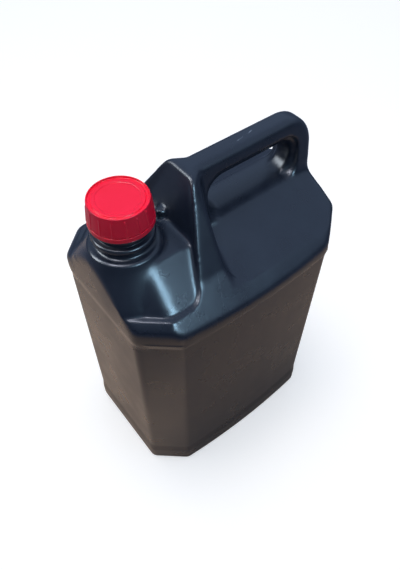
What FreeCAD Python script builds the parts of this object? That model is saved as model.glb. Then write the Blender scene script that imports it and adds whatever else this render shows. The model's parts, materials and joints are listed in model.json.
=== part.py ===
import FreeCAD, Part
import math, os

os.makedirs("parts", exist_ok=True)

# Five litre blow-moulded jerrycan. Millimetres, +Z up, origin under the middle of the base.
# +X runs along the long side to the back; the neck is near the front wall, at -X.

# Body walls
bodyLength = 190.0
bodyWidth = 133.0
chamferLength = 25.5      # corner chamfer, measured along X
chamferWidth = 22.3       # corner chamfer, measured along Y
cornerRadius = 8.0        # round on the upright edges
shoulderRadius = 3.5      # round from the walls into the slopes
sideCrown = 3.4           # outward bow of each long wall at its middle
wall = 1.2                # moulded wall
footRadius = 4.0          # round between walls and base
footWidth = 14.0          # width of the standing rim round the raised middle of the base
pushUp = 3.0              # rise of the middle of the base
rimHeight = 17.0          # height of the base rim
rimBlend = 9.0            # slope above the base rim
panelRecess = 0.9         # the wall panels lie this far inside the rim and shoulder
panelTop = 203.0
panelLedge = 1.8          # height of the step at the panels' top

# Shoulder, finger shelf and handle, as cross-sections over the width
slopeSum = panelTop + 11 + bodyWidth / 2    # on the side slopes, height + distance from the middle plane
chamferSpan = math.hypot(chamferLength, chamferWidth)
chamferReach = (bodyLength * chamferWidth + (bodyWidth - 2 * chamferWidth) * chamferLength) / 2 / chamferSpan
cornerSum = panelTop + 14.49 + chamferReach  # the same on the corner slopes, along the chamfer's normal
shelfEdge = bodyWidth / 2 - 7.1             # distance of the shelf's lower edge from the middle plane
shelfTop = panelTop + 38.4     # height of the shelf beside the handle's legs
legWidth = 15.3           # half width of the legs at the shelf
gripWidth = 8.4           # half width that the handle's sides reach at its top
gripRound = 6.0
handleTop = panelTop + 86.4
handleBackRadius = 25.2
handleBackX = bodyLength / 2 - handleBackRadius     # the handle's top starts to turn down here

# Hand hole
gripHalf = 9.0            # half width of the grip at its middle height
gripRim = 7.5             # round on the grip's underside
legRim = 4.0              # round on the hole's ends
holeTop = handleTop - 18.4
holeRadius = 13.5
floorHeight = shelfTop + 2
floorRadius = 64.0        # the arched floor meets the shelf on both sides

# Recess round the neck
neckX = 28 - bodyLength / 2
ledgeHeight = panelTop + 21
platformHeight = ledgeHeight + 26
ledgeRound = 8.0          # rounded lower corners of the recess
recessStep = 2.2          # depth of the recess below the shoulder's slopes
neckWallX = neckX + 35    # foot of the wall behind the neck
neckWallLean = 0.3
neckWallHalf = 27.0

# Front leg of the handle, above that wall
pillarFoot = 48.0         # half width of the front leg where it meets the slope
pillarTop = 13.5
pillarRound = 8.0
pillarBack = neckWallX + 12    # the front leg is full up to here, and falls to the shelf by shelfStart
shelfStart = neckWallX + 24
holeFront = neckWallX + 30.5
holeBack = bodyLength / 2 - 18.4

# Neck
pedestalFoot = 27.0
pedestalRim = 24.6
pedestalTop = platformHeight + 5
grooveRadius = 19.2       # between the pedestal and the collar
collarRadius = 21.6
collarLow = pedestalTop + 6
collarHigh = collarLow + 3.6
neckRadius = 17.4         # under the thread
neckBore = 15.2
lowerRadius = 18.0        # below the thread
beadRadius = 19.6         # thin bead under the tamper ring
beadLow = collarHigh + 4
lockRadius = 19.4         # bead that holds the tamper ring down
lockLow = beadLow + 6.4
lockHigh = lockLow + 1.2
neckRim = lockHigh + 11.4
lugX = neckWallX - 1      # round lug at the foot of the wall behind the neck
lugY = 6.5
lugRadius = 4.0
lugHeight = 7.0
lugRound = 1.5

# Screw cap
capLow = lockHigh + 0.4
capFoot = 21.6            # outer radius at the open end, between the ribs
capHead = 20.0            # outer radius at the top
capBore = 18.9
capPlate = 1.4            # top plate
capRise = 1.0             # raised edge above the top plate
ribCount = 16
ribRadius = 0.75
ribRise = 0.4             # how far the ribs stand out of the skirt
ribStop = 2.6             # the ribs end this far below the top edge

# Foam liner, tamper ring
linerThickness = 1.0
linerRadius = 18.6
sealGap = 0.05
ringLow = beadLow + 3.9
ringRadius = 22.0
ringWall = 1.2
ringSlit = 0.5            # slit between ring and cap
runningGap = 0.1
nibCount = 8
nibWidth = 1.2

V = FreeCAD.Vector
far = 3 * (bodyLength + bodyWidth)     # well outside the can


def roundedWire(points, radii):
    """Closed wire through points, with a tangent arc of the given radius at each; 0 leaves it sharp."""
    arcs, starts, ends = [], [], []
    count = len(points)
    for i, (corner, radius) in enumerate(zip(points, radii)):
        back = (points[i - 1] - corner).normalize()
        ahead = (points[(i + 1) % count] - corner).normalize()
        half = back.getAngle(ahead) / 2
        reach = radius / math.tan(half)
        start, end = corner + back * reach, corner + ahead * reach
        middle = corner + (back + ahead).normalize() * (radius / math.sin(half) - radius)
        starts.append(start)
        ends.append(end)
        arcs.append(Part.Arc(start, middle, end).toShape() if radius else None)
    edges = []
    for i in range(count):
        if arcs[i]:
            edges.append(arcs[i])
        edges.append(Part.makeLine(ends[i], starts[(i + 1) % count]))
    return Part.Wire(edges)


def halfSpace(point, normal):
    """Big block on the side of a plane that its normal points to."""
    block = Part.makeBox(far, far, far, V(-far / 2, -far / 2, 0))
    block.Placement = FreeCAD.Placement(point, FreeCAD.Rotation(V(0, 0, 1), normal))
    return block


def turned(profile, x=0.0):
    """Solid turned from (radius, height) points about an upright axis at x."""
    points = [V(radius, 0, z) for radius, z in profile]
    solid = Part.Face(Part.makePolygon(points + points[:1])).revolve(V(), V(0, 0, 1), 360)
    solid.translate(V(x, 0, 0))
    return solid


def bodyRing(inset, z):
    """Plan outline of the body at height z: bowed walls, chamfered and rounded corners."""
    hx, hy = bodyLength / 2, bodyWidth / 2
    cx, cy = hx - chamferLength, hy - chamferWidth
    corners = [V(hx, -cy), V(hx, cy), V(cx, hy), V(-cx, hy),
               V(-hx, cy), V(-hx, -cy), V(-cx, -hy), V(cx, -hy)]
    bows = [None, None, V(0, hy + sideCrown), None, None, None, V(0, -hy - sideCrown), None]
    edges = []
    for i, bow in enumerate(bows):
        start, end = corners[i], corners[(i + 1) % 8]
        edges.append(Part.Arc(start, bow, end).toShape() if bow else Part.makeLine(start, end))
    ring = Part.Wire(edges).makeOffset2D(-(inset + cornerRadius), 2).makeOffset2D(cornerRadius, 0)
    ring.translate(V(0, 0, z))
    return ring


def column(inset):
    """Upright body with its base rim and recessed panels, open-ended above the shoulder."""
    levels = [(inset, 0), (rimHeight, 0), (rimHeight + rimBlend, panelRecess),
              (panelTop - panelLedge, panelRecess), (panelTop, 0), (handleTop + 10, 0)]
    rings = [bodyRing(inset + recess, z) for z, recess in levels]
    return Part.makeLoft(rings, True, True)


def crestWire(x, blend, inset, rounded=True):
    """Cross-section at x: pillar shape at blend 0, shelf and handle shape at blend 1."""
    def mix(pillar, shelf):
        return pillar + (shelf - pillar) * blend

    shoulder = V(x, shelfEdge, slopeSum - shelfEdge + mix(0.3, 0))
    foot = V(x, mix(pillarFoot, legWidth), mix(slopeSum - pillarFoot, shelfTop))
    top = V(x, mix(pillarTop, gripWidth), handleTop)
    side = shelfEdge + 25.6
    half = [V(x, side, -10), V(x, side, slopeSum - side), shoulder, foot, top]
    mirrored = [V(x, -p.y, p.z) for p in reversed(half)]
    radii = [1, 8, 12, mix(18, 7), mix(pillarRound, gripRound) if rounded else 0]
    wire = roundedWire(half + mirrored, radii + radii[::-1])
    return wire.makeOffset2D(-inset, 0 if rounded else 2) if inset else wire


def crest(inset):
    """Everything under the shoulder, pillar, shelf and handle surfaces."""
    span, end = shelfStart - pillarBack, bodyLength / 2 + 25
    stations = [(-end, 0), (pillarBack, 0), (pillarBack + span * 0.2, 0.1), (pillarBack + span * 0.5, 0.5),
                (shelfStart - span * 0.2, 0.9), (shelfStart, 1), (end, 1)]
    return Part.makeLoft([crestWire(x, blend, inset) for x, blend in stations], True, True)


def handleBack(inset):
    """What lies outside the handle's turn down to the back wall and the rounds along that wall's top."""
    join, back = handleBackX - 15, bodyLength / 2 - inset
    radius = handleBackRadius - inset
    centre = V(handleBackX, 0, handleTop - handleBackRadius)
    rear = Part.Face(crestWire(join, 1, inset, False)).extrude(V(back - join, 0, 0))
    square = Part.makeBox(60, 80, 60, centre - V(0, 40, 0))
    drum = Part.makeCylinder(radius, 80, centre - V(0, 40, 0), V(0, 1, 0))
    rear = rear.cut(square.cut(drum)).removeSplitter()
    low = panelTop - 13
    edges = [edge for edge in rear.Edges if edge.BoundBox.ZMin > low and edge.BoundBox.XMax > join + 1
             and (edge.BoundBox.XMin > back - 0.01 or edge.BoundBox.ZMin > centre.z - 1)]
    rear = rear.makeFillet(gripRound - inset, edges)
    return Part.makeBox(80, bodyWidth * 1.5, 120, V(join, -bodyWidth * 0.75, low)).cut(rear)


def cornerSlopes(inset):
    """What lies outside the sloping front corners of the shoulder."""
    slopes = []
    for side in (-1, 1):
        outward = V(-chamferWidth, side * chamferLength, 0).normalize()
        normal = (outward + V(0, 0, 1)).normalize()
        top = outward * (cornerSum - ledgeHeight) + V(0, 0, ledgeHeight)
        slopes.append(halfSpace(top - normal * inset, normal))
    return slopes


def handHole(inset):
    """Opening through the handle, rounded on both rims, down to a low arched floor."""
    def grown(radius, reach):
        depth = min(max(reach - gripHalf + radius, 0), radius)
        return radius - math.sqrt(radius ** 2 - depth ** 2)

    sections = []
    for reach in (-24, -15, -9, -8.6, -7.8, -6.5, -5, -3, -1.5, 1.5, 3, 5, 6.5, 7.8, 8.6, 9, 15, 24):
        out = abs(reach)
        end = inset + grown(legRim, out)
        low = floorHeight - inset - out ** 2 / (2 * floorRadius) - 0.3
        high = holeTop + inset + grown(gripRim, out)
        corners = [V(holeFront - end, reach, low), V(holeBack + end, reach, low),
                   V(holeBack + end, reach, high), V(holeFront - end, reach, high)]
        sections.append(roundedWire(corners, [holeRadius] * 4))
    axis = V(neckX, 0, floorHeight - inset - floorRadius)
    floor = Part.makeCylinder(floorRadius, bodyLength, axis, V(1, 0, 0))
    return Part.makeLoft(sections, True, True).cut(floor)


def neckRecess(inset):
    """Space in front of the wall behind the neck and above the ledge, with rounded lower corners."""
    lean = neckWallLean
    front = -bodyLength / 2 - 25
    space = Part.makeBox(120, bodyWidth * 1.5, 120, V(front, -bodyWidth * 0.75, ledgeHeight - inset))
    spine = V(neckWallX, 0, platformHeight)
    back = V(1, 0, -lean).normalize()
    space = space.cut(halfSpace(spine + back * inset, back))
    for side in (-1, 1):
        foot = V(neckWallX, side * neckWallHalf, platformHeight)
        flank = V(0.93, side * 0.345, -0.13).normalize()
        space = space.cut(halfSpace(foot + flank * inset, flank))
    corners = [edge for edge in space.Edges if edge.BoundBox.ZMax < ledgeHeight + 0.01
               and edge.BoundBox.XMin > front + 1 and abs(edge.CenterOfMass.y) > neckWallHalf]
    return space.makeFillet(ledgeRound + inset, corners)


def platform(inset):
    """Lower front of the shoulder, inside the recess."""
    reach = slopeSum - recessStep * math.sqrt(2)
    back, front = neckWallX + 12, -bodyLength / 2
    low = [V(back, reach - ledgeHeight), V(front + 25.5, reach - ledgeHeight), V(front - 4, 27)]
    high = [V(back, reach - platformHeight), V(front + 27, reach - platformHeight), V(front - 4, 0.5)]
    drawIn = inset * (math.sqrt(2) - 1)
    wires = []
    for half, z, radii in ((low, ledgeHeight, (1, 18, 1)), (high, platformHeight, (1, 14, 1))):
        points = [V(p.x, -p.y, z - inset) for p in half] + [V(p.x, p.y, z - inset) for p in reversed(half)]
        wire = roundedWire(points, list(radii) + list(reversed(radii)))
        wires.append(wire.makeOffset2D(-drawIn) if inset else wire)
    skirt = [(17, 0), (14.5, 0.15), (9.5, 0.42), (5.5, 0.65), (2.5, 0.83), (0, 1)]
    inward, height = inset * 0.8, platformHeight - ledgeHeight
    profile = [(pedestalFoot + out - inward, ledgeHeight + height * up - inward) for out, up in skirt]
    ends = [profile[-1][1], profile[0][1]]
    cone = turned(profile + [(0, ends[0]), (0, ends[1])], neckX)
    return Part.makeLoft(wires, True, True).fuse(cone)


def shoulderBreaks(body):
    """Edges where the upright walls turn into the slopes."""
    found = []
    for edge in body.Edges:
        middle = edge.valueAt((edge.FirstParameter + edge.LastParameter) / 2)
        if not panelTop + 2 < middle.z < panelTop + 27 or abs(middle.y) < bodyWidth * 0.3:
            continue
        faces = body.ancestorsOfType(edge, Part.Face)
        normals = [face.normalAt(*face.Surface.parameter(middle)) for face in faces]
        rises = sorted(abs(normal.z) for normal in normals)
        if rises[0] < 0.1 and rises[-1] > 0.3 and normals[0].getAngle(normals[-1]) > 0.4:
            found.append(edge)
    return found


def baseRise(inset):
    """Raised middle of the base, as the space under it."""
    edge, slant = footWidth - inset, 5
    return Part.makeLoft([bodyRing(edge, -1), bodyRing(edge + slant, pushUp + inset)], True, True)


def block(inset):
    """Solid can body, drawn in by inset all round, without its neck."""
    body = column(inset).common(crest(inset))
    for slope in cornerSlopes(inset):
        body = body.cut(slope)
    body = body.removeSplitter()
    body = body.makeFillet(shoulderRadius - inset, shoulderBreaks(body))
    for tool in (handleBack(inset), handHole(inset), neckRecess(inset)):
        body = body.cut(tool)
    body = body.fuse(platform(inset).common(column(inset)))
    body = body.cut(halfSpace(V(0, 0, inset), V(0, 0, -1)))
    foot = [e for e in body.Edges if e.BoundBox.ZMax < inset + 0.01]
    body = body.makeFillet(footRadius - inset, foot)
    return body.cut(baseRise(inset)).removeSplitter()


def makeCan():
    """Hollow body with its handle and neck, as one moulding."""
    root = platformHeight - 5
    pedestal = [(0, root), (pedestalFoot, root), (pedestalFoot, platformHeight),
                (pedestalRim + 0.5, pedestalTop - 1), (pedestalRim - 1, pedestalTop),
                (grooveRadius + 1, pedestalTop), (grooveRadius, pedestalTop + 1)]
    collar = [(grooveRadius, collarLow), (collarRadius - 0.8, collarLow),
              (collarRadius, collarLow + 1), (collarRadius, collarHigh - 1),
              (collarRadius - 0.8, collarHigh), (lowerRadius, collarHigh + 0.4)]
    beads = [(lowerRadius, beadLow), (beadRadius, beadLow + 0.5), (beadRadius, beadLow + 1.4),
             (lowerRadius, beadLow + 2), (lowerRadius, lockLow), (lockRadius, lockLow),
             (lockRadius - 0.3, lockHigh - 0.4), (neckRadius, lockHigh)]
    rim = [(neckRadius, neckRim - 0.4), (neckRadius - 0.4, neckRim), (0, neckRim)]
    neck = turned(pedestal + collar + beads + rim, neckX)
    wide = pedestalRim - 2.6
    bore = turned([(0, root - 5), (wide, root - 5), (wide, platformHeight), (wide - 2, pedestalTop - 2),
                   (neckBore, pedestalTop + 3), (neckBore, neckRim + 1), (0, neckRim + 1)], neckX)
    lug = Part.makeCylinder(lugRadius, 2 * lugHeight, V(lugX, lugY, platformHeight - lugHeight))
    lug = lug.makeFillet(lugRound, [edge for edge in lug.Edges if edge.BoundBox.ZMin > platformHeight])
    inside = block(wall)
    return block(0).fuse(neck).fuse(lug).cut(inside).cut(bore).removeSplitter()


def makeCap():
    """Screw cap: ribbed, slightly narrowing skirt and a stepped top."""
    roof = neckRim + linerThickness + 2 * sealGap
    plate = roof + capPlate
    top = plate + capRise
    outline = [(0, capLow), (capFoot, capLow), (capHead, top - 0.5), (capHead - 0.2, top),
               (capHead - 0.8, top), (capHead - 1, plate - 0.4), (capHead - 2.8, plate - 0.4),
               (capHead - 3.1, plate + 0.4), (capHead - 5.5, plate + 0.4), (capHead - 5.8, plate), (0, plate)]
    cap = turned(outline, neckX).cut(Part.makeCylinder(capBore, roof, V(neckX, 0, 0)))
    slant = V(capHead - capFoot, 0, top - 0.5 - capLow).normalize()
    foot = V(neckX + capFoot + ribRise - ribRadius, 0, capLow)
    height = top - ribStop - capLow
    rib = Part.makeCylinder(ribRadius, height + 1, foot - slant, slant).fuse(
        Part.makeSphere(ribRadius, foot + slant * height))
    rib = rib.common(Part.makeBox(100, 100, 100, V(neckX, -50, capLow)))
    for i in range(ribCount):
        cap = cap.fuse(rib.rotated(V(neckX, 0, 0), V(0, 0, 1), i * 360 / ribCount))
    return cap


def makeRing():
    """Tamper ring: thin band with a lip under the neck's bead and the broken bridges on top."""
    high = capLow - ringSlit
    lip = lowerRadius + runningGap
    seat = lockLow - runningGap
    band = turned([(lip, ringLow), (ringRadius - 0.3, ringLow), (ringRadius, ringLow + 0.3),
                   (ringRadius - 0.2, high), (ringRadius - ringWall, high),
                   (ringRadius - ringWall, seat - 0.6), (lip, seat - 0.2)], neckX)
    corner = V(neckX + ringRadius - ringWall + 0.2, -nibWidth / 2, high - 0.1)
    nib = Part.makeBox(ringWall * 0.6, nibWidth, ringSlit, corner)
    for i in range(nibCount):
        band = band.fuse(nib.rotated(V(neckX, 0, 0), V(0, 0, 1), (i + 0.5) * 360 / nibCount))
    return band


def makeLiner():
    """Foam disc that seals the cap on the neck's rim."""
    return Part.makeCylinder(linerRadius, linerThickness, V(neckX, 0, neckRim + sealGap))


nodes = {"can_body": makeCan(), "screw_cap": makeCap(), "tamper_ring": makeRing(), "foam_liner": makeLiner()}
for name, shape in nodes.items():
    shape.Solids[0].exportStep("parts/" + name + ".step")
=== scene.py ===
import bpy
import bmesh
import json
import math
from mathutils import Matrix, Vector


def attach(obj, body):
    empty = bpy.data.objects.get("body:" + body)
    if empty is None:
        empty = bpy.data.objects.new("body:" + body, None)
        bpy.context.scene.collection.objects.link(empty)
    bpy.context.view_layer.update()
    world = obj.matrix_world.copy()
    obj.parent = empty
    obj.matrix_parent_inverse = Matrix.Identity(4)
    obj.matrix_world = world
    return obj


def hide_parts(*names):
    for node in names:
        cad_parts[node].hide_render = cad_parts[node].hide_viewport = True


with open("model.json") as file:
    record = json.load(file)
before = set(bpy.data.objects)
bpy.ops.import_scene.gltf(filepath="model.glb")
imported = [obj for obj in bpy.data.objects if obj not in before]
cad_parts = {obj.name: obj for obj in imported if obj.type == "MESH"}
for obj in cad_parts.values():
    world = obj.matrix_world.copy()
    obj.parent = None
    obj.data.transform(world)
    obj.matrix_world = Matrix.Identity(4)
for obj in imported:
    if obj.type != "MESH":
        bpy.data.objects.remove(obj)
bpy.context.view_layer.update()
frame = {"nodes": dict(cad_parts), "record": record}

scene = bpy.context.scene
mouth = next(mount for mount in frame["record"]["mounts"] if mount["name"] == "mouth")
neckAxis = Vector((mouth["pos_m"][0], mouth["pos_m"][1], 0.0))
print("frame loaded")


# Small helpers for working on one piece at a time. Vertices closer than merge become one, and smooth is how
# far each round of smoothing moves them
meshing = {"merge": 0.000004, "smooth": 0.5}
mmPerMetre = 1000.0


def pick(piece):
    bpy.ops.object.select_all(action="DESELECT")
    piece.select_set(True)
    bpy.context.view_layer.objects.active = piece


def editAll(piece):
    # leaves the piece in edit mode with everything selected
    pick(piece)
    bpy.ops.object.mode_set(mode="EDIT")
    bpy.ops.mesh.select_all(action="SELECT")


def copyNode(node, name):
    piece = frame["nodes"][node].copy()
    piece.data = piece.data.copy()
    piece.name = piece.data.name = name
    piece.parent = None
    for key in list(piece.keys()):
        del piece[key]
    scene.collection.objects.link(piece)
    piece.data.materials.clear()
    editAll(piece)
    bpy.ops.mesh.remove_doubles(threshold=meshing["merge"])
    bpy.ops.object.mode_set(mode="OBJECT")
    return piece


def useModifier(piece, kind, **settings):
    pick(piece)
    modifier = piece.modifiers.new(kind.title(), kind)
    for key, value in settings.items():
        setattr(modifier, key, value)
    bpy.ops.object.modifier_apply(modifier=modifier.name)


def selectBy(piece, test, kind="faces"):
    # leaves the piece in edit mode with what passes the test selected
    pick(piece)
    bpy.ops.object.mode_set(mode="EDIT")
    bpy.ops.mesh.select_mode(type={"faces": "FACE", "edges": "EDGE"}[kind])
    bpy.ops.mesh.select_all(action="DESELECT")
    mesh = bmesh.from_edit_mesh(piece.data)
    for part in getattr(mesh, kind):
        part.select_set(test(part))
    bmesh.update_edit_mesh(piece.data)


def faceOutwards(piece):
    editAll(piece)
    bpy.ops.mesh.normals_make_consistent(inside=False)
    bpy.ops.object.mode_set(mode="OBJECT")


def smoothPiece(piece, rounds, **settings):
    useModifier(piece, "SMOOTH", factor=meshing["smooth"], iterations=rounds, **settings)


def soften(piece, voxel, rounds):
    useModifier(piece, "REMESH", mode="VOXEL", voxel_size=voxel, use_smooth_shade=True)
    smoothPiece(piece, rounds)


def fromNeck(point):
    return math.hypot(point.x - neckAxis.x, point.y)


def joinParts(piece, parts):
    pick(piece)
    for part in parts:
        part.select_set(True)
    bpy.ops.object.join()


def finishPiece(piece, body, slot, material, *nodes, smoothAngle=None):
    piece.data.materials.clear()
    piece.data.materials.append(material)
    pick(piece)
    if smoothAngle:
        bpy.ops.object.shade_smooth_by_angle(angle=math.radians(smoothAngle))
    else:
        bpy.ops.object.shade_smooth()
    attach(piece, body)
    if nodes:
        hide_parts(*nodes)
    print(piece.name, "has", sum(len(face.vertices) - 2 for face in piece.data.polygons), "triangles")


# Weights from 0 to 1: rising from low to high, falling from low to high, and full round a middle

def share(value, low, high):
    return min(max((value - low) / (high - low), 0), 1)


def fall(value, low, high):
    return share(-value, -high, -low)


def band(value, middle, half, fade):
    return share(half - abs(value - middle), 0, fade)


# Node trees: small wrappers, so that a material reads as a list of its steps

def feed(tree, socket, value):
    if isinstance(value, bpy.types.NodeSocket):
        tree.links.new(value, socket)
    else:
        socket.default_value = value


def addNode(tree, kind, settings=None, **inputs):
    # in0, in1 and so on give an input by its number, any other key by its label
    node = tree.nodes.new(kind)
    for key, value in (settings or {}).items():
        setattr(node, key, value)
    for key, value in inputs.items():
        number = key.removeprefix("in")
        feed(tree, node.inputs[int(number) if number.isdigit() else key.replace("_", " ")], value)
    return node


def newGroup(name, inputs, outputs):
    # inputs whose labels are given in vectors, then in numbers
    tree = bpy.data.node_groups.new(name, "ShaderNodeTree")
    for kind, labels in zip(("NodeSocketVector", "NodeSocketFloat"), inputs):
        for label in labels:
            tree.interface.new_socket(label, in_out="INPUT", socket_type=kind)
    for label in outputs:
        tree.interface.new_socket(label, in_out="OUTPUT", socket_type="NodeSocketFloat")
    return tree, tree.nodes.new("NodeGroupInput").outputs, tree.nodes.new("NodeGroupOutput").inputs


def mathNode(tree, operation, *values, clamp=False):
    node = addNode(tree, "ShaderNodeMath", {"operation": operation, "use_clamp": clamp})
    for socket, value in zip(node.inputs, values):
        feed(tree, socket, value)
    return node.outputs[0]


def vectorNode(tree, operation, output, first, **inputs):
    node = addNode(tree, "ShaderNodeVectorMath", {"operation": operation}, in0=first, **inputs)
    return node.outputs[output]


def axisOf(tree, place, axis):
    return addNode(tree, "ShaderNodeSeparateXYZ", Vector=place).outputs[axis]


def noiseNode(tree, place, scale, detail, roughness):
    node = addNode(tree, "ShaderNodeTexNoise", Vector=place, Scale=scale, Detail=detail, Roughness=roughness)
    return node.outputs[0]


def rampNode(tree, value, low, high, lowOut=0.0, highOut=1.0):
    node = addNode(tree, "ShaderNodeMapRange", {"interpolation_type": "SMOOTHSTEP"}, Value=value)
    for label, number in (("From Min", low), ("From Max", high), ("To Min", lowOut), ("To Max", highOut)):
        node.inputs[label].default_value = number
    return node.outputs["Result"]


def mixColour(tree, mask, first, second):
    settings = {"data_type": "RGBA", "clamp_factor": True}
    return addNode(tree, "ShaderNodeMix", settings, in0=mask, in6=first, in7=second).outputs[2]


def bumpNode(tree, height, distance, strength=1.0, normal=None):
    node = addNode(tree, "ShaderNodeBump", Height=height, Distance=distance, Strength=strength)
    if normal:
        tree.links.new(normal, node.inputs["Normal"])
    return node.outputs["Normal"]


def groupNode(tree, group, **inputs):
    return addNode(tree, "ShaderNodeGroup", {"node_tree": group}, **inputs)


def newMaterial(name):
    material = bpy.data.materials.new(name)
    material.use_nodes = True
    tree = material.node_tree
    place = addNode(tree, "ShaderNodeTexCoord").outputs["Object"]
    return material, tree, tree.nodes["Principled BSDF"], place


# Patterns that the materials share. An edge is where a ramp over the noise starts and ends
pattern = {
    "grain": {"detail": 2.0, "roughness": 0.6},
    "wave": {"detail": 2.0, "roughness": 0.4},
    "clouds": {"scale": 22.0, "detail": 4.0, "roughness": 0.6}, "cloudEdge": (0.35, 0.7),
    "scratches": {"scale": 1.0, "detail": 3.0, "roughness": 0.7}, "scratchEdge": (0.6, 0.75),
    "patches": {"scale": 30.0, "detail": 2.0, "roughness": 0.5}, "patchEdge": (0.48, 0.68),
    "breaks": {"scale": 260.0, "detail": 2.0, "roughness": 0.5}, "breakEdge": (0.4, 0.6),
    "lineEdge": (0.4, 1.0),
}


# Moulded grain: fine pebble on slow waves, and wide clouds that vary the tint. Its sizes are in millimetres
def makeGrainGroup():
    tree, source, result = newGroup(
        "mouldedGrain", (["Place"], ["Grain Size", "Wave Size", "Grain", "Wave"]), ["Height", "Clouds"])
    place = source["Place"]
    grainScale = mathNode(tree, "DIVIDE", mmPerMetre, source["Grain Size"])
    waveScale = mathNode(tree, "DIVIDE", mmPerMetre, source["Wave Size"])
    grain = noiseNode(tree, place, grainScale, **pattern["grain"])
    wave = noiseNode(tree, place, waveScale, **pattern["wave"])
    clouds = noiseNode(tree, place, **pattern["clouds"])
    height = mathNode(tree, "MULTIPLY", grain, source["Grain"])
    height = mathNode(tree, "MULTIPLY_ADD", wave, source["Wave"], height)
    tree.links.new(height, result["Height"])
    tree.links.new(rampNode(tree, clouds, *pattern["cloudEdge"]), result["Clouds"])
    return tree


# Scuffs: fine scratches in one direction, broken up in patches
def makeScuffGroup():
    tree, source, result = newGroup("scuffs", (["Place", "Stretch"], ["Amount"]), ["Mask"])
    place = source["Place"]
    stretched = vectorNode(tree, "MULTIPLY", "Vector", place, in1=source["Stretch"])
    lines = rampNode(tree, noiseNode(tree, stretched, **pattern["scratches"]), *pattern["scratchEdge"])
    patches = rampNode(tree, noiseNode(tree, place, **pattern["patches"]), *pattern["patchEdge"])
    mask = mathNode(tree, "MULTIPLY", lines, patches)
    tree.links.new(mathNode(tree, "MULTIPLY", mask, source["Amount"]), result["Mask"])
    return tree


# Mark: a short straight scratch from its start along its run, faint and broken along its length
def makeMarkGroup():
    tree, source, result = newGroup(
        "scratchMark", (["Place", "Start", "Run"], ["Width", "Amount"]), ["Mask"])
    place, run = source["Place"], source["Run"]
    offset = vectorNode(tree, "SUBTRACT", "Vector", place, in1=source["Start"])
    along = vectorNode(tree, "DOT_PRODUCT", "Value", offset, in1=run)
    square = vectorNode(tree, "DOT_PRODUCT", "Value", run, in1=run)
    progress = mathNode(tree, "DIVIDE", along, square, clamp=True)
    foot = vectorNode(tree, "SCALE", "Vector", run, Scale=progress)
    away = vectorNode(tree, "DISTANCE", "Value", offset, in1=foot)
    line = rampNode(tree, mathNode(tree, "DIVIDE", away, source["Width"]), *pattern["lineEdge"], 1.0, 0.0)
    breaks = rampNode(tree, noiseNode(tree, place, **pattern["breaks"]), *pattern["breakEdge"])
    mask = mathNode(tree, "MULTIPLY", line, breaks)
    tree.links.new(mathNode(tree, "MULTIPLY", mask, source["Amount"]), result["Mask"])
    return tree


grainGroup, scuffGroup, markGroup = makeGrainGroup(), makeScuffGroup(), makeMarkGroup()


def makeGrain(tree, place, finish, grain):
    return groupNode(tree, grainGroup, Place=place, Grain_Size=finish["grainSize"], Grain=grain,
                     Wave_Size=finish["waveSize"], Wave=finish["wave"])


def makeScuffs(tree, place, finish):
    scuffs = groupNode(tree, scuffGroup, Place=place, Stretch=finish["scuffStretch"],
                       Amount=finish["scuffs"])
    return scuffs.outputs["Mask"]


def finishPlastic(tree, shader, finish, clouds, marks):
    # both clouds and marks change the colour and make the plastic rougher
    colour = mixColour(tree, clouds, finish["colour"], finish["pale"])
    tree.links.new(mixColour(tree, marks, colour, finish["scratch"]), shader.inputs["Base Color"])
    rough = mathNode(tree, "MULTIPLY_ADD", clouds, finish["cloudRough"], finish["roughness"])
    rough = mathNode(tree, "MULTIPLY_ADD", marks, finish["markRough"], rough)
    tree.links.new(rough, shader.inputs["Roughness"])
    shader.inputs["IOR"].default_value = finish["ior"]


# The black can. Each mark is its start, its run, its width and how much it shows
canFinish = {
    "colour": (0.0078, 0.0118, 0.0220, 1), "pale": (0.0104, 0.0155, 0.0280, 1),
    "scratch": (0.16, 0.19, 0.23, 1), "roughness": 0.26, "cloudRough": 0.08, "markRough": 0.2, "ior": 1.53,
    "grainSize": 0.5, "grain": 0.5, "wallGrain": 0.04, "grainFrom": (0.204, 0.214),
    "waveSize": 24.0, "wave": 1.0, "bump": 0.00010,
    "scuffStretch": (220.0, 220.0, 9.0), "scuffs": 0.02,
    "seamEdge": (0.0001, 0.0005), "seamBump": 0.00005, "seamStrength": 0.3,
    "marks": [((-0.0207, -0.0351, 0.2454), (-0.0125, -0.0290, -0.0290), 0.00035, 0.30),
              ((0.0270, -0.0018, 0.2894), (0.0060, 0.0012, 0.0), 0.0005, 0.8),
              ((0.0365, -0.0004, 0.2894), (0.0060, 0.0014, 0.0), 0.0005, 0.8)],
}


def makeCanPlastic():
    material, tree, shader, place = newMaterial("blackBlownPlastic")
    # the shoulder is grained, the walls are nearly smooth
    grained = rampNode(tree, axisOf(tree, place, "Z"), *canFinish["grainFrom"],
                       canFinish["wallGrain"], canFinish["grain"])
    grain = makeGrain(tree, place, canFinish, grained)
    marks = makeScuffs(tree, place, canFinish)
    for start, run, width, amount in canFinish["marks"]:
        mark = groupNode(tree, markGroup, Place=place, Start=start, Run=run, Width=width, Amount=amount)
        marks = mathNode(tree, "MAXIMUM", marks, mark.outputs["Mask"])
    finishPlastic(tree, shader, canFinish, grain.outputs["Clouds"], marks)
    # the line where the two mould halves met runs round the middle plane
    side = mathNode(tree, "ABSOLUTE", axisOf(tree, place, "Y"))
    seam = rampNode(tree, side, *canFinish["seamEdge"], 1.0, 0.0)
    normal = bumpNode(tree, seam, canFinish["seamBump"], canFinish["seamStrength"])
    normal = bumpNode(tree, grain.outputs["Height"], canFinish["bump"], normal=normal)
    tree.links.new(normal, shader.inputs["Normal"])
    return material


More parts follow.
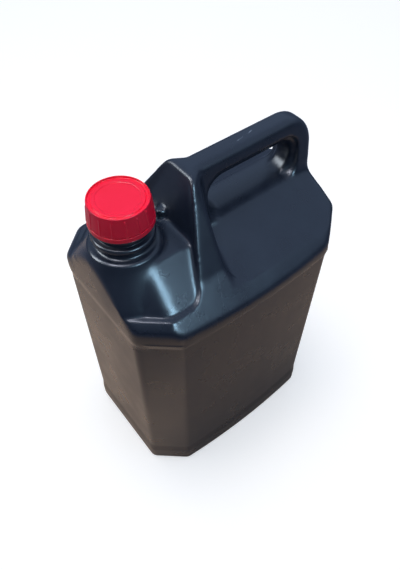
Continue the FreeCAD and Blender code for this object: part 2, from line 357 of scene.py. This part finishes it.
capFinish = {
    "colour": (0.95, 0.003, 0.028, 1), "pale": (0.99, 0.004, 0.038, 1), "scratch": (0.9, 0.12, 0.16, 1),
    "roughness": 0.28, "cloudRough": 0.08, "markRough": 0.15, "ior": 1.5, "sheen": 0.36, "bump": 0.00004,
    "grainSize": 0.7, "grain": 0.4, "waveSize": 9.0, "wave": 1.0,
    "scuffStretch": (300.0, 1500.0, 300.0), "scuffs": 0.5,
}


def makeCapPlastic():
    material, tree, shader, place = newMaterial("redMouldedPlastic")
    grain = makeGrain(tree, place, capFinish, capFinish["grain"])
    finishPlastic(tree, shader, capFinish, grain.outputs["Clouds"], makeScuffs(tree, place, capFinish))
    tree.links.new(bumpNode(tree, grain.outputs["Height"], capFinish["bump"]), shader.inputs["Normal"])
    shader.inputs["Specular IOR Level"].default_value = capFinish["sheen"]
    return material


foamFinish = {
    "cells": 2600.0, "pitEdge": (0.1, 0.6),
    "pitShadeColour": (0.62, 0.60, 0.56, 1), "colour": (0.86, 0.85, 0.81, 1), "roughness": (0.9, 0.7),
    "bump": 0.0001,
}


def makeFoam():
    material, tree, shader, place = newMaterial("whiteFoam")
    cells = addNode(tree, "ShaderNodeTexVoronoi", {"feature": "F1"}, Vector=place, Scale=foamFinish["cells"])
    pits = rampNode(tree, cells.outputs["Distance"], *foamFinish["pitEdge"])
    # the pits are painted darker, a painted shade in the hollows of the foam
    colour = mixColour(tree, pits, foamFinish["pitShadeColour"], foamFinish["colour"])
    tree.links.new(colour, shader.inputs["Base Color"])
    tree.links.new(rampNode(tree, pits, 0.0, 1.0, *foamFinish["roughness"]), shader.inputs["Roughness"])
    tree.links.new(bumpNode(tree, pits, foamFinish["bump"]), shader.inputs["Normal"])
    return material


canPlastic, capPlastic, foam = makeCanPlastic(), makeCapPlastic(), makeFoam()
print("materials made")

# The neck, turned from its section: the collar, a thin bead, the bead that holds the ring, and the rim. Each
# point is a radius and a height in millimetres
neckRing = {
    "outside": [(19.2, 257.9), (19.2, 261.0), (20.6, 261.0), (21.5, 261.7), (21.6, 262.6), (21.4, 263.8),
                (20.6, 264.6), (18.0, 265.0), (18.0, 268.6), (19.6, 269.1), (19.6, 270.0), (18.0, 270.6),
                (18.0, 275.0), (19.4, 275.0), (19.1, 275.8), (17.4, 276.2), (17.4, 287.1), (16.9, 287.6)],
    "inside": [(15.6, 287.6), (15.2, 287.2), (15.2, 257.9)],
    "steps": 160, "merge": 0.00001, "edge": 0.00022, "edgeSteps": 2, "edgeAngle": 28,
}


def makeNeckRing():
    points = neckRing["outside"] + neckRing["inside"]
    bpy.ops.object.select_all(action="DESELECT")
    bpy.ops.mesh.primitive_circle_add(vertices=len(points), radius=1, fill_type="NOTHING", location=neckAxis)
    ring = bpy.context.object
    ring.name = ring.data.name = "can_neck"
    for vert, (radius, height) in zip(ring.data.vertices, points):
        vert.co = (radius / mmPerMetre, 0, height / mmPerMetre)
    useModifier(ring, "SCREW", angle=math.tau, steps=neckRing["steps"], render_steps=neckRing["steps"],
                use_merge_vertices=True, merge_threshold=neckRing["merge"])
    faceOutwards(ring)
    useModifier(ring, "BEVEL", width=neckRing["edge"], segments=neckRing["edgeSteps"], limit_method="ANGLE",
                angle_limit=math.radians(neckRing["edgeAngle"]))
    return ring


# Screw threads: a ridge wound up the neck, and the same half a turn round inside the cap. Both fade out at
# their ends
thread = {
    "pitch": 0.0042, "turns": 1.95, "low": 0.2781, "half": 0.0009, "tip": 0.0004, "stepsPerTurn": 72,
    "fade": 0.12,
    "neck": {"root": 0.0173, "crest": 0.01875, "start": 0.0},
    "cap": {"root": 0.0190, "crest": 0.01755, "start": math.pi},
}


def makeThread(name, root, crest, start):
    bpy.ops.object.select_all(action="DESELECT")
    bpy.ops.mesh.primitive_plane_add(size=1, location=neckAxis)
    ridge = bpy.context.object
    ridge.name = ridge.data.name = name
    half, tip, low, turns = thread["half"], thread["tip"], thread["low"], thread["turns"]
    corners = [(root, -half), (crest, -tip), (crest, tip), (root, half)]
    for vert, (radius, height) in zip((0, 1, 3, 2), corners):
        ridge.data.vertices[vert].co = (radius * math.cos(start), radius * math.sin(start), low + height)
    steps = int(turns * thread["stepsPerTurn"])
    useModifier(ridge, "SCREW", angle=math.tau * turns, screw_offset=thread["pitch"] * turns,
                steps=steps, render_steps=steps, use_merge_vertices=False)
    for vert in ridge.data.vertices:
        turn = (vert.co.z - low) / thread["pitch"]
        fade = share(min(turn, turns - turn), 0, thread["fade"])
        radius = math.hypot(vert.co.x, vert.co.y)
        wanted = root + (radius - root) * fade
        vert.co.x, vert.co.y = vert.co.x * wanted / radius, vert.co.y * wanted / radius
    faceOutwards(ridge)
    return ridge


# The can: its outer skin gets the soft edges of blow moulding, the neck and the inside stay sharp
canShape = {
    "cut": 0.2600, "join": 0.2582, "neckReach": 0.0241, "neckLow": 0.2521,
    "voxel": 0.00085, "rounds": 8, "softRounds": 100, "smoothAngle": 40,
    "wallTop": 0.2030, "wallFade": 0.004, "wallShare": 0.42, "share": 0.58, "insideShare": 0.35,
    "pips": [((-0.0437, -0.0159, 0.2500), 0.0008), ((-0.0790, -0.0040, 0.2318), 0.0009)],
    "pipFlatness": 0.7, "pipSegments": 20, "pipRings": 12,
}


def neckFace(face):
    reach, low = canShape["neckReach"], canShape["neckLow"]
    return all(fromNeck(vert.co) < reach and vert.co.z > low for vert in face.verts)


def cutNeck(piece, height):
    selectBy(piece, neckFace)
    bpy.ops.mesh.bisect(plane_co=(0, 0, height), plane_no=(0, 0, 1), clear_outer=True)
    bpy.ops.object.mode_set(mode="OBJECT")


def weigh(piece, name, weightOf):
    group = piece.vertex_groups.new(name=name)
    for vert in piece.data.vertices:
        weight = weightOf(vert.co)
        if weight > 0:
            group.add([vert.index], weight, "REPLACE")


# Where the skin is softened most. A pair is where a weight starts to change and where it stops, and three
# numbers are the middle of a band, half its width and its fade
softZones = {
    "ridges": {"front": (-0.066, -0.056), "above": (0.229, 0.234), "below": (0.2515, 0.2535)},
    "turn": {"height": (0.2130, 0.011, 0.005), "slant": 0.3, "outside": (0.048, 0.056)},
    "corners": {"height": (0.2165, 0.017, 0.006), "outside": (0.078, 0.086), "farSide": (-0.02, 0.0)},
    "ledge": {"height": (0.2020, 0.008, 0.004), "front": (-0.089, -0.086)},
    "legTop": {"front": (-0.019, -0.012), "above": (0.278, 0.284), "most": 0.5},
    "legEdge": {"above": (0.226, 0.231), "end": (-0.021, 0.285), "lean": 0.356, "width": (0.008, 0.003),
                "most": 0.4},
    "bank": {"height": (0.238, 0.014, 0.005), "back": (-0.008, 0.0), "across": (0, 0.032, 0.006),
             "outside": (0.006, 0.010), "most": 0.5},
}


def softness(point):
    x, y, z = point
    # the ridges under the neck
    zone = softZones["ridges"]
    ridges = fall(x, *zone["front"]) * share(z, *zone["above"]) * fall(z, *zone["below"])
    # the line where the walls turn in
    zone = softZones["turn"]
    turn = band(z, *zone["height"]) * share(abs(y) + zone["slant"] * abs(x), *zone["outside"])
    # the corners, except the near one at the front
    zone = softZones["corners"]
    corners = band(z, *zone["height"]) * share(abs(x), *zone["outside"])
    if x < 0:
        corners *= share(y, *zone["farSide"])
    # the front wall's ledge
    zone = softZones["ledge"]
    ledge = fall(x, *zone["front"]) * band(z, *zone["height"])
    # the handle's front leg: where it meets the grip, and its slanting front edge
    zone = softZones["legTop"]
    legTop = share(z, *zone["above"]) * fall(x, *zone["front"]) * zone["most"]
    zone = softZones["legEdge"]
    edgeX = zone["end"][0] - zone["lean"] * (zone["end"][1] - z)
    legEdge = zone["most"] * share(z, *zone["above"]) * band(x, edgeX, *zone["width"])
    # the bank beside the hand hole
    zone = softZones["bank"]
    bank = zone["most"] * share(x, *zone["back"]) * band(z, *zone["height"])
    bank *= band(y, *zone["across"]) * share(abs(y), *zone["outside"])
    return max(ridges, turn, corners, ledge, legTop, legEdge, bank)


# The shelf beside the handle is sunk behind a rounded step at its front corner
shelfStep = {
    "centre": (-0.002, 0.044), "radius": 0.0157, "depth": 0.0006, "width": 0.0014, "fade": (0.003, 0.016),
    "low": 0.214, "lowFade": 0.004, "high": 0.246, "highFade": 0.012, "back": (0.0, 0.030),
}


def stepDepth(point):
    forward = shelfStep["centre"][0] - point.x
    outward = abs(point.y) - shelfStep["centre"][1]
    away = math.hypot(forward, outward) if forward > 0 and outward > 0 else max(forward, outward)
    inside = shelfStep["radius"] - away
    depth = share(inside, 0, shelfStep["width"]) - share(inside, *shelfStep["fade"])
    depth *= share(point.z, shelfStep["low"], shelfStep["low"] + shelfStep["lowFade"])
    upper = fall(point.z, shelfStep["high"], shelfStep["high"] + shelfStep["highFade"])
    depth *= upper * fall(point.x, *shelfStep["back"])
    return max(depth, 0) * shelfStep["depth"]


# A low bead runs across each cut corner where the wall panel starts
beadLine = {"height": 0.2053, "half": 0.0012, "rise": 0.0004, "minX": 0.068, "minY": 0.0475, "fade": 0.002}


def beadRise(point):
    rise = band(point.z, beadLine["height"], beadLine["half"], beadLine["half"])
    rise *= share(abs(point.x), beadLine["minX"], beadLine["minX"] + beadLine["fade"])
    rise *= share(abs(point.y), beadLine["minY"], beadLine["minY"] + beadLine["fade"])
    return rise * beadLine["rise"]


def sink(piece, depthOf):
    moves = [vert.normal * depthOf(vert.co) for vert in piece.data.vertices]
    for vert, move in zip(piece.data.vertices, moves):
        vert.co -= move


def makePip(place, radius):
    # a flattened bead left by the mould, half sunk into the wall
    bpy.ops.object.select_all(action="DESELECT")
    bpy.ops.mesh.primitive_uv_sphere_add(segments=canShape["pipSegments"], ring_count=canShape["pipRings"],
                                         radius=radius, location=place)
    pip = bpy.context.object
    editAll(pip)
    bpy.ops.transform.resize(value=(1, 1, canShape["pipFlatness"]), center_override=place)
    bpy.ops.object.mode_set(mode="OBJECT")
    return pip


def makeCanShell():
    skin = copyNode("can_body", "can_shell")
    # skin and inside apart, cut at the neck
    cutNeck(skin, canShape["cut"])
    editAll(skin)
    bpy.ops.mesh.separate(type="LOOSE")
    bpy.ops.object.mode_set(mode="OBJECT")
    parts = sorted(bpy.context.selected_objects, key=lambda part: -part.dimensions.y)
    skin, inside = parts[0], parts[1]
    for crumb in parts[2:]:
        print("loose part left out:", len(crumb.data.vertices), "points")
        bpy.data.objects.remove(crumb)
    skin.name = "can_shell"
    selectBy(skin, lambda edge: edge.is_boundary, "edges")
    bpy.ops.mesh.edge_face_add()
    bpy.ops.object.mode_set(mode="OBJECT")
    soften(skin, canShape["voxel"], canShape["rounds"])
    weigh(skin, "soft", softness)
    smoothPiece(skin, canShape["softRounds"], vertex_group="soft")
    sink(skin, lambda point: stepDepth(point) - beadRise(point))
    # the plain walls need fewer faces than the shoulder
    wallTop = canShape["wallTop"]
    weigh(skin, "walls", lambda point: fall(point.z, wallTop - canShape["wallFade"], wallTop))
    useModifier(skin, "DECIMATE", ratio=canShape["wallShare"], vertex_group="walls")
    useModifier(skin, "DECIMATE", ratio=canShape["share"])
    # skin and inside meet again at the neck's foot, and the neck is set on them
    cutNeck(inside, canShape["join"])
    useModifier(inside, "DECIMATE", ratio=canShape["insideShare"])
    cutNeck(skin, canShape["join"])
    joinParts(skin, [inside])
    selectBy(skin, lambda edge: edge.is_boundary, "edges")
    bpy.ops.mesh.bridge_edge_loops()
    bpy.ops.object.mode_set(mode="OBJECT")
    ridge = makeThread("neck_thread", **thread["neck"])
    ring = makeNeckRing()
    pips = [makePip(place, radius) for place, radius in canShape["pips"]]
    joinParts(skin, [ring, ridge] + pips)
    return skin


canShell = makeCanShell()
finishPiece(canShell, "can", "can", canPlastic, "can_body", smoothAngle=canShape["smoothAngle"])
print("can made")

# Cap, ring and liner with the small rounds that moulding leaves. Each row is the node, its body, its slot and
# its material, then the size of the grid it is remade on and the rounds of smoothing
smallParts = [
    ("screw_cap", "cap", "cap", capPlastic, 0.00025, 3),
    ("tamper_ring", "ring", "cap", capPlastic, 0.00024, 2),
    ("foam_liner", "liner", "liner", foam, 0.00032, 3),
]
capShare = 0.5

for node, body, slot, material, voxel, rounds in smallParts:
    piece = copyNode(node, node + "_shell")
    soften(piece, voxel, rounds)
    if node == "screw_cap":
        useModifier(piece, "DECIMATE", ratio=capShare)
        joinParts(piece, [makeThread("cap_thread", **thread["cap"])])
    finishPiece(piece, body, slot, material, node)
print("cap made")

# Room: a floor and a sky that the camera sees as white, one box that lights the part from above and three
# that only show as sheen on it. In reflections the floor is warm, with a painted pool of light before the
# front wall, painted shade far off and a faint painted glow. Each box is its name, place, size, power and
# colour, then whether it lights and whether it is mirrored
light = {
    "floorSize": 3.2, "floorRoughness": 0.9, "floorSheen": 0.1, "floorLift": 0.56, "mirrored": 0.06,
    "seenFloor": (0.62, 0.57, 0.51, 1), "floor": (0.50, 0.34, 0.23, 1),
    "floorLightPool": (0.88, 0.60, 0.40, 1), "lightPoolPlace": -0.117, "lightPoolEdge": (0.015, 0.065),
    "farFloorShade": (0.17, 0.20, 0.27, 1), "farShadeEdge": (0.28, 0.50),
    "horizon": 0.11, "sky": 0.65, "skyEdge": (0.02, 0.55), "skyColour": (0.72, 0.96, 1.38, 1),
    "white": (1, 1, 1, 1), "dimSide": (-0.62, -0.70, 0.35), "dimEdge": (0.45, 0.95), "dim": 0.35,
    "target": (0, 0, 0.2),
    "boxes": [
        ("overBox", (-0.12, 0.15, 1.65), (0.6, 0.6), 12.0, (1.0, 0.97, 0.93), True, False),
        ("arcBox", (-0.60, -0.05, 1.55), (0.40, 0.40), 12.0, (0.86, 0.88, 1.0), False, True),
        ("glintBox", (-1.0, 0.62, 0.95), (0.40, 0.90), 17.0, (0.85, 0.93, 1.0), False, True),
        ("window", (0.0, -1.15, 0.98), (0.36, 0.22), 13.0, (0.46, 0.76, 1.0), False, True),
    ],
}


def seenDirectly(tree, path):
    # 1 where the camera sees it, also through something clear
    return mathNode(tree, "MAXIMUM", path.outputs["Is Camera Ray"], path.outputs["Is Transmission Ray"])


def makeFloor():
    bpy.ops.object.select_all(action="DESELECT")
    bpy.ops.mesh.primitive_plane_add(size=light["floorSize"], location=(0, 0, 0))
    floor = bpy.context.object
    floor.name = "floor"
    material, tree, shader, place = newMaterial("paleFloor")
    shader.inputs["Roughness"].default_value = light["floorRoughness"]
    shader.inputs["Specular IOR Level"].default_value = light["floorSheen"]
    path = addNode(tree, "ShaderNodeLightPath")
    seen = seenDirectly(tree, path)
    # a painted pool of light close before the front wall, painted shade far off
    away = mathNode(tree, "SUBTRACT", axisOf(tree, place, "X"), light["lightPoolPlace"])
    bright = rampNode(tree, mathNode(tree, "ABSOLUTE", away), *light["lightPoolEdge"])
    warm = mixColour(tree, bright, light["floorLightPool"], light["floor"])
    far = rampNode(tree, vectorNode(tree, "LENGTH", "Value", place), *light["farShadeEdge"])
    warm = mixColour(tree, far, warm, light["farFloorShade"])
    tree.links.new(mixColour(tree, seen, warm, light["seenFloor"]), shader.inputs["Base Color"])
    # the floor glows white where the camera sees it, and glows a little in reflections as a painted glow
    lift = mathNode(tree, "MULTIPLY_ADD", path.outputs["Is Glossy Ray"], light["mirrored"], seen)
    tree.links.new(mathNode(tree, "MULTIPLY", lift, light["floorLift"]), shader.inputs["Emission Strength"])
    shader.inputs["Emission Color"].default_value = light["white"]
    floor.data.materials.append(material)


def makeSky():
    world = bpy.data.worlds.new("softSky")
    scene.world = world
    world.use_nodes = True
    tree = world.node_tree
    background = tree.nodes["Background"]
    way = addNode(tree, "ShaderNodeTexCoord").outputs["Generated"]
    glow = rampNode(tree, axisOf(tree, way, "Z"), *light["skyEdge"], light["horizon"], light["sky"])
    # one side of the room is dimmer
    facing = vectorNode(tree, "DOT_PRODUCT", "Value", way, in1=light["dimSide"])
    dimmed = rampNode(tree, facing, *light["dimEdge"], 1.0, light["dim"])
    # the camera sees plain white behind the part
    seen = seenDirectly(tree, addNode(tree, "ShaderNodeLightPath"))
    strength = mathNode(tree, "MAXIMUM", mathNode(tree, "MULTIPLY", glow, dimmed), seen)
    tree.links.new(strength, background.inputs["Strength"])
    tree.links.new(mixColour(tree, seen, light["skyColour"], light["white"]), background.inputs["Color"])


def addSoftbox(name, place, size, power, colour, lights, mirrors):
    lamp = bpy.data.lights.new(name, "AREA")
    lamp.shape, (lamp.size, lamp.size_y) = "RECTANGLE", size
    lamp.energy, lamp.color = power, colour
    box = bpy.data.objects.new(name, lamp)
    box.location = place
    box.visible_diffuse, box.visible_glossy = lights, mirrors
    box.rotation_euler = (Vector(light["target"]) - Vector(place)).to_track_quat("-Z", "Y").to_euler()
    scene.collection.objects.link(box)


makeFloor()
makeSky()
for settings in light["boxes"]:
    addSoftbox(*settings)

# Camera
view = {
    "place": (-0.1789, -0.21995, 0.51317), "azimuth": -38.664, "elevation": 51.905, "roll": 0.271,
    "sensor": 36, "lens": 33.76, "near": 0.02,
}
camera = bpy.data.cameras.new("camera")
camera.sensor_fit, camera.sensor_width, camera.lens = "AUTO", view["sensor"], view["lens"]
camera.clip_start = view["near"]
seat = bpy.data.objects.new("camera", camera)
turn = (Matrix.Rotation(math.radians(view["azimuth"]), 4, "Z")
        @ Matrix.Rotation(math.radians(90 - view["elevation"]), 4, "X")
        @ Matrix.Rotation(math.radians(view["roll"]), 4, "Z"))
seat.matrix_world = Matrix.Translation(view["place"]) @ turn
scene.collection.objects.link(seat)
scene.camera = seat

scene.view_settings.view_transform = "Standard"
